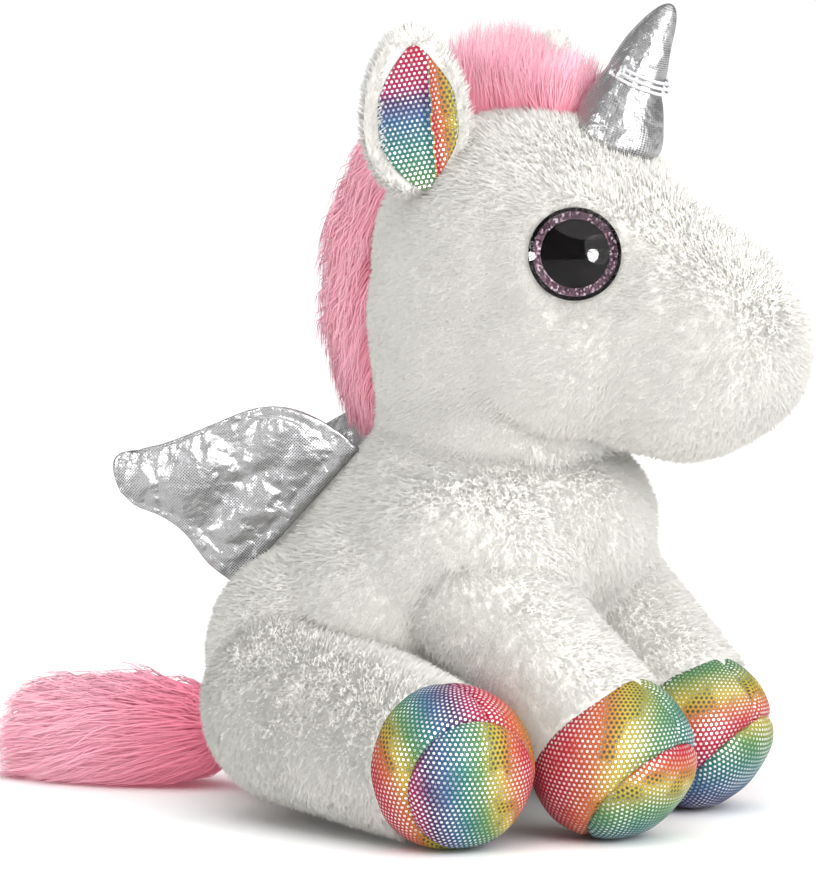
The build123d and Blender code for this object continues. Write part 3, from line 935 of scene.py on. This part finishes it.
class UNICORN_OT_ears(bpy.types.Operator):
    """Makes both ears: a plush leaf and the folded foil that lines it"""

    bl_idname = "unicorn.ears"
    bl_label = "Ears"

    def execute(self, context):
        for number, side in enumerate(SIDES):
            self.plush(side, number)
            self.lining(side)
        return {"FINISHED"}

    def place(self, side, local):
        """Local across, out and up millimetres to the frame's metres."""
        axes = np.array([tuple(a) for a in ear_axes(side)])
        return (np.array(on(side, EAR)) + local @ axes) * MM

    def plush(self, side, number):
        bm = bmesh.new()
        bmesh.ops.create_icosphere(bm, subdivisions=5, radius=1)
        mesh = mesh_from(bm, f"ear_{side}")
        ball = points_of(mesh)
        height = ball[:, 2] / 2 + 0.5
        rim = np.sqrt(np.maximum(1e-9, 1 - ball[:, 2] ** 2))
        across = ball[:, 0] / rim * ear_width(height)
        thick = ball[:, 1] / rim * EAR_T / 2 * np.minimum(1, 2.2 * rim)
        out = ear_cup(across, height) + thick
        local = np.stack([across, out, height * EAR_H - 1], 1)
        put_points(mesh, self.place(side, local))
        shade_smooth(mesh)
        outward(mesh)
        ear = add_object(f"ear_skin_{side}", mesh, "plush_cloth")
        settle(ear, f"ear_{side}", [f"ear_plush_{side}"])
        pile(f"ear_pile_{side}", f"ear_{side}", ear, 20 + number, comb=(0, 0.1, 0.9),
             keep=lambda roots: self.off_lining(side, roots), share=1.25)

    def off_lining(self, side, roots):
        """Pile grows everywhere but under the lining."""
        axes = np.array([tuple(a) for a in ear_axes(side)])
        local = (roots / MM - np.array(on(side, EAR))) @ axes.T
        height = (local[:, 2] + 1) / EAR_H
        front = local[:, 1] > ear_cup(local[:, 0], height)
        inner = np.abs(local[:, 0]) < ear_width(height) * 0.70
        return ~(front & inner & (height > 0.07) & (height < 0.90))

    def lining(self, side):
        bm = bmesh.new()
        bmesh.ops.create_grid(bm, x_segments=44, y_segments=70, size=1)
        mesh = mesh_from(bm, f"ear_lining_{side}")
        flat = points_of(mesh)
        height = 0.03 + 0.89 * (flat[:, 1] / 2 + 0.5)
        taper = np.clip(4.4 * (flat[:, 1] / 2 + 0.5) * (0.5 - flat[:, 1] / 2), 0, 1) ** 0.55
        half = ear_width(height) * 0.76 * taper
        across = flat[:, 0] * half
        share = np.clip(across / np.maximum(ear_width(height), 1e-6), -0.98, 0.98)
        surface = ear_cup(across, height) + EAR_T / 2 * np.sqrt(1 - share ** 2)
        fold = EAR_FOLD - across if side == "right" else across + EAR_FOLD
        ridge = 2.0 * np.exp(-(fold / 1.5) ** 2) - 0.5 * np.exp(-((fold + 4) / 2.4) ** 2)
        edge = 1 - np.abs(flat[:, 0]) ** 4
        out = surface + 0.8 + ridge * edge * np.sin(height * math.pi)
        local = np.stack([across, out, height * EAR_H - 1], 1)
        put_points(mesh, self.place(side, local))
        print_at = np.interp(height, (0, 0.1, 0.35, 0.5, 0.6, 0.68, 1),
                             (0.38, 0.42, 0.56, 0.68, 0.79, 0.93, 1.03))
        print_at = np.where(fold > 0, print_at, 0.06 - 0.022 * fold + 0.05 * height)
        add_maps(mesh, np.stack([across, height * EAR_H], 1) * MM, print_at)
        shade_smooth(mesh)
        lining = add_object(f"ear_foil_{side}", mesh, "rainbow_foil")
        wall = lining.modifiers.new("wall", "SOLIDIFY")
        wall.thickness, wall.offset = 0.0007, 0
        apply_modifiers(lining)
        outward(lining.data)
        settle(lining, f"ear_{side}", [f"ear_lining_{side}"])


def add_maps(mesh, cloth, print_at=None):
    """The cloth map gives each point's place on the flat cloth, the print map its colour."""
    corners = np.empty(len(mesh.loops), int)
    mesh.loops.foreach_get("vertex_index", corners)
    mesh.uv_layers.new(name="cloth").data.foreach_set("uv", cloth[corners].ravel())
    if print_at is not None:
        spots = np.stack([print_at, np.zeros(len(print_at))], 1)
        mesh.uv_layers.new(name="print").data.foreach_set("uv", spots[corners].ravel())


# ================================================================ horn
class UNICORN_OT_horn(bpy.types.Operator):
    """Spins the stuffed foil horn, pinches it with thread and leans it forward"""

    bl_idname = "unicorn.horn"
    bl_label = "Horn"

    PROFILE = [(-7, 17.6), (0, 17.4), (6, 16.6), (12, 14.8), (17, 12.6), (20.5, 10.6), (24, 10.9),
               (30, 10.2), (36, 8.6), (42, 6.8), (47, 5.0), (50.5, 3.1), (51.8, 1.3)]

    def execute(self, context):
        bm = bmesh.new()
        verts = [bm.verts.new((radius * MM, 0, height * MM)) for height, radius in self.PROFILE]
        verts.append(bm.verts.new((0, 0, 52.2 * MM)))
        edges = [bm.edges.new(pair) for pair in zip(verts, verts[1:])]
        bmesh.ops.spin(bm, geom=verts + edges, cent=(0, 0, 0), axis=(0, 0, 1), angle=2 * math.pi,
                       steps=48, use_merge=True, use_duplicate=False)
        bmesh.ops.remove_doubles(bm, verts=bm.verts, dist=1e-6)
        rim = [e for e in bm.edges if e.is_boundary]
        bmesh.ops.edgeloop_fill(bm, edges=rim)
        bmesh.ops.recalc_face_normals(bm, faces=bm.faces)
        horn = add_object("horn_foil", mesh_from(bm, "horn_foil"), "silver_foil")
        finer = horn.modifiers.new("finer", "SUBSURF")
        finer.levels = finer.render_levels = 2
        apply_modifiers(horn)
        self.form(horn.data)
        shade_smooth(horn.data)
        settle(horn, "head", ["horn_cover", "horn_stuffing"])
        dress("horn_thread", "thread")
        return {"FINISHED"}

    def form(self, mesh):
        """Wrinkles that gather at the thread, a bend, and the horn's own place."""
        points = points_of(mesh) / MM
        height = points[:, 2]
        angle = np.arctan2(points[:, 1], points[:, 0])
        radius = np.hypot(points[:, 0], points[:, 1])
        add_maps(mesh, np.stack([angle * 11, height], 1) * MM)
        gather = np.exp(-((height - 21) / 7) ** 2)
        radius = radius * (1 + 0.045 * gather * np.sin(angle * 9 + 0.8 * np.sin(angle * 2)))
        lumps = np.array([noise.noise(Vector(p) / 9) for p in points])
        radius = radius * (1 + 0.05 * lumps)
        bend = 2.6 * np.sin(np.clip(height / 52, 0, 1) * math.pi)
        local = np.stack([radius * np.cos(angle), radius * np.sin(angle) + bend, height], 1)
        up = (HORN_TIP - HORN).normalized()
        across = Vector((1, 0, 0))
        axes = np.array([tuple(across), tuple(up.cross(across)), tuple(up)])
        put_points(mesh, (np.array(HORN) + local @ axes) * MM)


# ================================================================ hair pieces
# Places in metres
FORELOCK_LOW = 0.259        # height over which the forelock's locks grow
MANE_LOW = 0.134            # height that the mane's ends stay over
TAIL_END = 0.170            # how far back the tail's ends reach
TAIL_BLUNT = 0.85           # share of what passes that end that is drawn back


class UNICORN_OT_hair(bpy.types.Operator):
    """Makes the forelock and the mane from long pink pile"""

    bl_idname = "unicorn.hair"
    bl_label = "Mane and forelock"

    def execute(self, context):
        self.forelock(context.scene)
        self.mane(context.scene)
        return {"FINISHED"}

    def forelock(self, scene):
        rng = np.random.default_rng(31)
        balls = list(chain(Vector((0, -40, 262)), Vector((0, -71, 263)), 9, 9, 5, (1.15, 1, 0.7)))
        base = soft_form("forelock_base", balls, 0.0018, 6, "pink_cloth")
        settle(base, "head", ["forelock"])
        roots, out = scatter(base.data, locks(5200), rng)
        shown = roots[:, 2] > FORELOCK_LOW
        roots, out = roots[shown], out[shown]
        count = len(roots)
        front = eased(-roots[:, 1], 0.052, 0.074)[:, None]
        length = rng.uniform(0.024, 0.037, (count, 1)) * (1 - 0.30 * front)
        way = out * 0.35 + np.array((0, -0.10, 1.0)) + rng.normal(scale=0.16, size=(count, 3))
        last = clumped(unit(way) * length, roots, 60, 0.35, rng)
        first = unit(out * 0.5 + np.array((0, 0, 0.9))) * length * 0.5
        width = scene.unicorn_hair.width * 0.85
        made = grow("forelock_hair", roots, out, first, last, width, 2, rng, "pink_hair")
        settle(made, "head")

    def mane(self, scene):
        rng = np.random.default_rng(32)
        line = [Vector((0, -14, 250)), Vector((0, -2, 226)), Vector((0, 0, 200)), Vector((0, -1, 176)),
                Vector((0, -2, 160))]
        balls = [b for a, c in zip(line, line[1:]) for b in chain(a, c, 9, 9, 4, (1.1, 0.75, 1))]
        base = soft_form("mane_base", balls, 0.0022, 6, "pink_cloth")
        settle(base, "head", ["mane_strip"])
        roots, out = scatter(base.data, locks(9500), rng)
        shown = out[:, 1] > -0.35
        roots, out = roots[shown], out[shown]
        count = len(roots)
        low = eased(roots[:, 2:3], 0.150, 0.196)
        length = rng.uniform(0.020, 0.031, (count, 1)) * (0.62 + 0.38 * low)
        down = np.array((0, 0.42, 0)) * low - np.array((0, 0, 0.88))
        way = out * 0.5 + down + rng.normal(scale=0.15, size=(count, 3))
        last = clumped(unit(way) * length, roots, 150, 0.35, rng)
        last[:, 2] = np.maximum(last[:, 2], MANE_LOW - roots[:, 2])
        first = out * length * 0.55 + np.array((0, 0.3, 0.0)) * length
        width = scene.unicorn_hair.width
        made = grow("mane_hair", roots, out, first, last, width, 2, rng, "pink_hair")
        settle(made, "head")


class UNICORN_OT_tail(bpy.types.Operator):
    """Makes the long-haired tail that lies behind the seat"""

    bl_idname = "unicorn.tail"
    bl_label = "Tail"

    def execute(self, context):
        rng = np.random.default_rng(41)
        balls = [*chain(Vector((0, 80, 21)), Vector((0, 100, 19)), 10, 13.5, 4),
                 *chain(Vector((0, 100, 19)), Vector((0, 138, 17)), 13.5, 12, 5)]
        base = soft_form("tail_base", balls, 0.0025, 8, "pink_cloth")
        settle(base, "tail", ["tail_fur"])
        roots, out = scatter(base.data, locks(9500), rng)
        count = len(roots)
        length = rng.uniform(0.026, 0.044, (count, 1))
        way = out * 0.34 + np.array((0, 1.0, -0.22)) + rng.normal(scale=0.17, size=(count, 3))
        last = clumped(unit(way) * length, roots, 150, 0.40, rng)
        far = roots[:, 1] + last[:, 1] - TAIL_END
        last[:, 1] -= np.maximum(far, 0) * TAIL_BLUNT
        last[:, 2] = np.maximum(last[:, 2], 0.0006 - roots[:, 2])
        first = out * length * 0.42 + np.array((0, 0.2, 0.0)) * length
        first[:, 2] = np.maximum(first[:, 2], (0.0008 - roots[:, 2]) * 0.9)
        width = context.scene.unicorn_hair.width * 1.1
        # Locks grow darker towards the rump: partly the tail's deeper pink at the root and partly
        # painted shade where it meets the body.
        paler = eased(roots[:, 1], 0.070, 0.112)
        made = grow("tail_hair", roots, out, first, last, width, 2, rng, "pink_hair", paler)
        settle(made, "tail")
        dress("tail_core", "pink_cloth")
        dress("tail_stub", "pink_cloth")
        return {"FINISHED"}


# ================================================================ legs
class UNICORN_OT_legs(bpy.types.Operator):
    """Makes the four stuffed legs, their pile and their foil hooves"""

    bl_idname = "unicorn.legs"
    bl_label = "Legs and hooves"

    BARE_RIM = 4            # how far the pile stays off a hoof, in millimetres
    FOIL = 0.0009           # thickness of a panel with its backing

    # The print on each panel: the way it runs, its colour at the hoof's middle and its
    # change for each millimetre.
    PRINTS = {
        ("fore", "sole", "right"): ((0, 0, 1), 0.15, -0.0155),
        ("fore", "upper", "right"): ((0.469, -0.883, -0.1), 0.26, 0.0105),
        ("fore", "sole", "left"): ((0.1, 0, 1), 0.36, -0.014),
        ("fore", "upper", "left"): ((0, 0.2, 1), 0.08, 0.0155),
        ("hind", "sole", "right"): ((0.469, -0.883, 0.15), 0.62, -0.0206),
        ("hind", "upper", "right"): ((0.46, -0.80, 0.40), 0.60, 0.0206),
        ("hind", "sole", "left"): ((-0.469, -0.883, 0.15), 0.40, -0.0206),
        ("hind", "upper", "left"): ((-0.46, -0.80, 0.40), 0.30, 0.0206),
    }

    def execute(self, context):
        for number, side in enumerate(SIDES):
            self.leg("fore", side, list(fore_balls(side)), 51 + number)
            self.leg("hind", side, list(hind_balls(side)), 61 + number)
            self.hoof("fore", side, FORE, FORE_HOOF, FORE_R, FORE_SOLE)
            self.hoof("hind", side, HIND, HIND_HOOF, HIND_R, HIND_SOLE)
        return {"FINISHED"}

    def leg(self, name, side, balls, seed):
        voxel = bpy.context.scene.unicorn_plush.voxel
        leg = soft_form(f"{name}leg_skin_{side}", balls, voxel, 8, "plush_cloth")
        points = rumple(leg.data, 0.0012, 0.026, seed)
        put_points(leg.data, floor_flat(points))
        body = f"{name}leg_{side}"
        inside = [f"{name}leg_{layer}_{side}" for layer in ("cover", "stuffing")]
        settle(leg, body, inside)
        hoof = on(side, HIND_HOOF) if name == "hind" else strayed(side, FORE_HOOF)
        radius = (HIND_R if name == "hind" else FORE_R) + self.BARE_RIM
        hidden = [*torso_balls(), (hoof, (radius,) * 3)]
        pile(f"{name}leg_pile_{side}", body, leg, seed, hidden=hidden, comb=(0.1, -0.5, -0.6))

    def hoof(self, name, side, joint, middle, radius, sole):
        joint = on(side, joint)
        middle = strayed(side, middle) if name == "fore" else on(side, middle)
        sole = on(side, sole).normalized()
        toe = (middle - joint).normalized()
        outside = toe.cross(Vector((0, 0, 1))).normalized()
        if outside.x * middle.x < 0:
            outside = -outside
        for part in ("sole", "outer", "inner"):
            bm = bmesh.new()
            bmesh.ops.create_icosphere(bm, subdivisions=5, radius=1)
            self.cut(bm, -toe * CUFF_SHARE, -toe)
            if part == "sole":
                self.cut(bm, sole * SOLE_SHARE, -sole)
                centre = sole
            else:
                self.cut(bm, sole * SOLE_SHARE, sole)
                way = outside if part == "outer" else -outside
                self.cut(bm, Vector(), -way)
                centre = (way + toe * 0.35).normalized()
            mesh = mesh_from(bm, f"{name}_{part}_{side}")
            ball = unit(points_of(mesh))
            flat = self.flattened(ball, centre, radius)
            panel = "sole" if part == "sole" else "upper"
            way, start, change = self.PRINTS[name, panel, side]
            across = ball @ np.array(Vector(way).normalized())
            add_maps(mesh, flat, start + across * radius * change)
            put_points(mesh, self.stuffed(ball, middle, radius, sole, outside))
            shade_smooth(mesh)
            hoof = add_object(f"{name}_{part}_foil_{side}", mesh, "rainbow_foil")
            wall = hoof.modifiers.new("wall", "SOLIDIFY")
            wall.thickness, wall.offset = self.FOIL, -1
            apply_modifiers(hoof)
            settle(hoof, f"{name}leg_{side}", [f"{name}_hoof_{part}_{side}"])

    def cut(self, bm, place, away):
        """Removes what lies on the side that away points to."""
        geometry = bm.verts[:] + bm.edges[:] + bm.faces[:]
        bmesh.ops.bisect_plane(bm, geom=geometry, dist=1e-6, plane_co=place, plane_no=away,
                               clear_outer=True)

    def flattened(self, ball, centre, radius):
        """Places on the flat cloth of a panel that is laid over the ball from its centre."""
        centre = np.array(centre)
        across = unit(np.cross(centre, (0, 0, 1)))
        up = np.cross(across, centre)
        angle = np.arccos(np.clip(ball @ centre, -1, 1))
        flat = np.stack([ball @ across, ball @ up], 1)
        return unit(flat) * (angle * radius * MM)[:, None]

    def stuffed(self, ball, middle, radius, sole, outside):
        """The hoof's stuffed form: seams pull in, the sole and the underside are flatter."""
        sole, outside = np.array(sole), np.array(outside)
        towards = ball @ sole
        seam = np.exp(-((towards - SOLE_SHARE) / 0.045) ** 2) * 0.055
        front = np.exp(-((ball @ outside) / 0.045) ** 2) * 0.045 * (towards < SOLE_SHARE)
        puff = 1.03 - seam - front - 0.05 * eased(towards, 0.75, 1.0)
        lumps = np.array([noise.noise(Vector(p) * 2.2 + Vector(middle)) for p in ball])
        points = (np.array(middle) + ball * (puff + 0.018 * lumps)[:, None] * radius) * MM
        return floor_flat(points, 0.0002, 0.003)


# ================================================================ wings
def through(points, count):
    """Places on a smooth curve through a few points."""
    points = [Vector(p) for p in points]
    ends = [2 * points[0] - points[1], *points, 2 * points[-1] - points[-2]]
    found = []
    for k in range(count):
        t = k / (count - 1) * (len(points) - 1)
        i = min(int(t), len(points) - 2)
        a, b, c, d = ends[i:i + 4]
        t -= i
        found.append(0.5 * (2 * b + (c - a) * t + (2 * a - 5 * b + 4 * c - d) * t * t
                            + (3 * b - a - 3 * c + d) * t ** 3))
    return np.array([tuple(p) for p in found])


class UNICORN_OT_wings(bpy.types.Operator):
    """Makes both wings as padded foil, quilted along their stitch lines"""

    bl_idname = "unicorn.wings"
    bl_label = "Wings"

    LEADING = [(0, 0), (1.0, 17), (5.5, 31), (14.5, 41), (30, 49), (46, 57), (59, 66)]
    TRAILING = [(73, 0), (73.5, 14), (70, 29), (70.5, 40), (73.5, 50), (73, 58)]
    STITCHES = [[(61.6, 27.9), (36.6, 24.3), (24.2, 18.3)], [(28.1, 44.7), (36.6, 24.3)]]
    ACROSS, ALONG = 46, 42
    CURVE_STEPS = 240
    SIM_SCALE = 5           # the cloth is simulated this many times larger
    SIM_FRAMES = 22
    PUFF = 4.2              # most that the cloth may rise, in millimetres
    CLOTH = 0.0018          # thickness of the flat wing before it is padded

    def execute(self, context):
        for side in SIDES:
            self.wing(context, side)
        return {"FINISHED"}

    def axes(self, side):
        along = (on(side, WING_LOW) - on(side, WING_TOP)).normalized()
        facing = along.cross(on(side, WING_TIP) - on(side, WING_TOP)).normalized()
        reach = facing.cross(along)
        return along, reach, facing

    def wing(self, context, side):
        bm = bmesh.new()
        bmesh.ops.create_grid(bm, x_segments=self.ACROSS, y_segments=self.ALONG, size=1)
        plan = mesh_from(bm, f"wing_{side}")
        square = points_of(plan) / 2 + 0.5
        steps = self.CURVE_STEPS
        leading, trailing = through(self.LEADING, steps), through(self.TRAILING, steps)
        out = square[:, 1] * (steps - 1)
        whole = np.clip(out.astype(int), 0, steps - 2)
        part = (out - whole)[:, None]
        a = leading[whole] * (1 - part) + leading[whole + 1] * part
        b = trailing[whole] * (1 - part) + trailing[whole + 1] * part
        s = square[:, :1]
        flat = a * (1 - s) + b * s
        flat[:, 1] += 5.5 * np.sin(s[:, 0] * math.pi) ** 0.8 * eased(square[:, 1], 0.80, 1.0)
        border = np.minimum(np.minimum(square[:, 0], 1 - square[:, 0]) * 60, (1 - square[:, 1]) * 62)
        border = np.minimum(border, square[:, 1] * 62)
        stitched = self.from_stitches(flat)
        put_points(plan, np.concatenate([flat, np.zeros((len(flat), 1))], 1) * MM * self.SIM_SCALE)
        add_maps(plan, flat * MM)
        wing = add_object(f"wing_skin_{side}", plan, "silver_foil")
        held = wing.vertex_groups.new(name="held")
        for index, (edge, stitch) in enumerate(zip(border, stitched)):
            weight = max(0.0, 1 - edge / 0.9, 1 - abs(edge - 4.2) / 1.1, 1 - stitch / 1.3)
            if weight > 0:
                held.add([index], min(1, weight * 1.5), "REPLACE")
        wall = wing.modifiers.new("wall", "SOLIDIFY")
        wall.thickness, wall.offset = self.CLOTH * self.SIM_SCALE, 0
        apply_modifiers(wing)
        self.inflate(context, wing)
        finer = wing.modifiers.new("finer", "SUBSURF")
        finer.levels = finer.render_levels = 1
        apply_modifiers(wing)
        self.finish(wing, side)

    def from_stitches(self, flat):
        """Distance from each point to the nearest stitch line."""
        away = np.full(len(flat), 1e3)
        for line in self.STITCHES:
            for a, b in zip(line, line[1:]):
                a, b = np.array(a), np.array(b)
                t = np.clip((flat - a) @ (b - a) / ((b - a) @ (b - a)), 0, 1)
                away = np.minimum(away, np.linalg.norm(flat - a - t[:, None] * (b - a), axis=1))
        return away

    def inflate(self, context, wing):
        """The padding puffs the cloth up between its seams."""
        start = points_of(wing.data)
        cloth = wing.modifiers.new("padding", "CLOTH")
        cloth.settings.quality = 6
        cloth.settings.mass = 0.12
        cloth.settings.tension_stiffness = cloth.settings.compression_stiffness = 14
        cloth.settings.shear_stiffness = 8
        cloth.settings.bending_stiffness = 0.4
        cloth.settings.vertex_group_mass = "held"
        cloth.settings.use_pressure = True
        cloth.settings.uniform_pressure_force = 9
        cloth.settings.effector_weights.gravity = 0
        cloth.settings.shrink_min = -0.06
        cloth.point_cache.frame_start, cloth.point_cache.frame_end = 1, self.SIM_FRAMES
        for step in range(1, self.SIM_FRAMES + 1):
            context.scene.frame_set(step)
        apply_modifiers(wing)
        moved = points_of(wing.data) - start
        far = np.linalg.norm(moved, axis=1, keepdims=True)
        most = self.PUFF * MM * self.SIM_SCALE
        put_points(wing.data, start + moved * np.minimum(1, most / np.maximum(far, 1e-9)))
        context.scene.frame_set(1)

    def finish(self, wing, side):
        along, reach, facing = (np.array(tuple(v)) for v in self.axes(side))
        local = points_of(wing.data) / MM / self.SIM_SCALE
        sag = 3.5 * np.sin(np.clip(local[:, 1] / 66, 0, 1) * math.pi / 2) ** 2
        if side == "left":
            sag = -sag
        world = np.array(on(side, WING_TOP)) + local[:, :1] * along + local[:, 1:2] * reach
        world = world + (local[:, 2:] - sag[:, None]) * facing
        put_points(wing.data, world * MM)
        outward(wing.data)
        shade_smooth(wing.data)
        nodes = [f"wing_{part}_{side}" for part in ("front", "padding", "back")]
        settle(wing, f"wing_{side}", nodes)


# ================================================================ panel and registration
STEPS = (UNICORN_OT_stage, UNICORN_OT_torso, UNICORN_OT_head, UNICORN_OT_eyes, UNICORN_OT_ears,
         UNICORN_OT_horn, UNICORN_OT_hair, UNICORN_OT_legs, UNICORN_OT_wings, UNICORN_OT_tail)


class UNICORN_PT_panel(bpy.types.Panel):
    """Lists the settings and the steps that build the toy"""

    bl_idname = "UNICORN_PT_panel"
    bl_label = "Plush Unicorn"
    bl_space_type = "VIEW_3D"
    bl_region_type = "UI"
    bl_category = "Unicorn"

    def draw(self, context):
        for name in SETTINGS:
            box = self.layout.box()
            group = getattr(context.scene, name)
            for key in group.__annotations__:
                box.prop(group, key)
        for step in STEPS:
            self.layout.operator(step.bl_idname)


SETTINGS = {
    "unicorn_plush": PlushSettings,
    "unicorn_hair": HairSettings,
    "unicorn_foil": FoilSettings,
    "unicorn_stage": StageSettings,
}
CLASSES = (*SETTINGS.values(), *STEPS, UNICORN_PT_panel)


def register():
    for cls in CLASSES:
        bpy.utils.register_class(cls)
    for name, group in SETTINGS.items():
        setattr(bpy.types.Scene, name, PointerProperty(type=group))


def unregister():
    for name in SETTINGS:
        delattr(bpy.types.Scene, name)
    for cls in reversed(CLASSES):
        bpy.utils.unregister_class(cls)


def main():
    register()
    for step in STEPS:
        group, name = step.bl_idname.split(".")
        getattr(getattr(bpy.ops, group), name)()


if __name__ == "__main__":
    main()
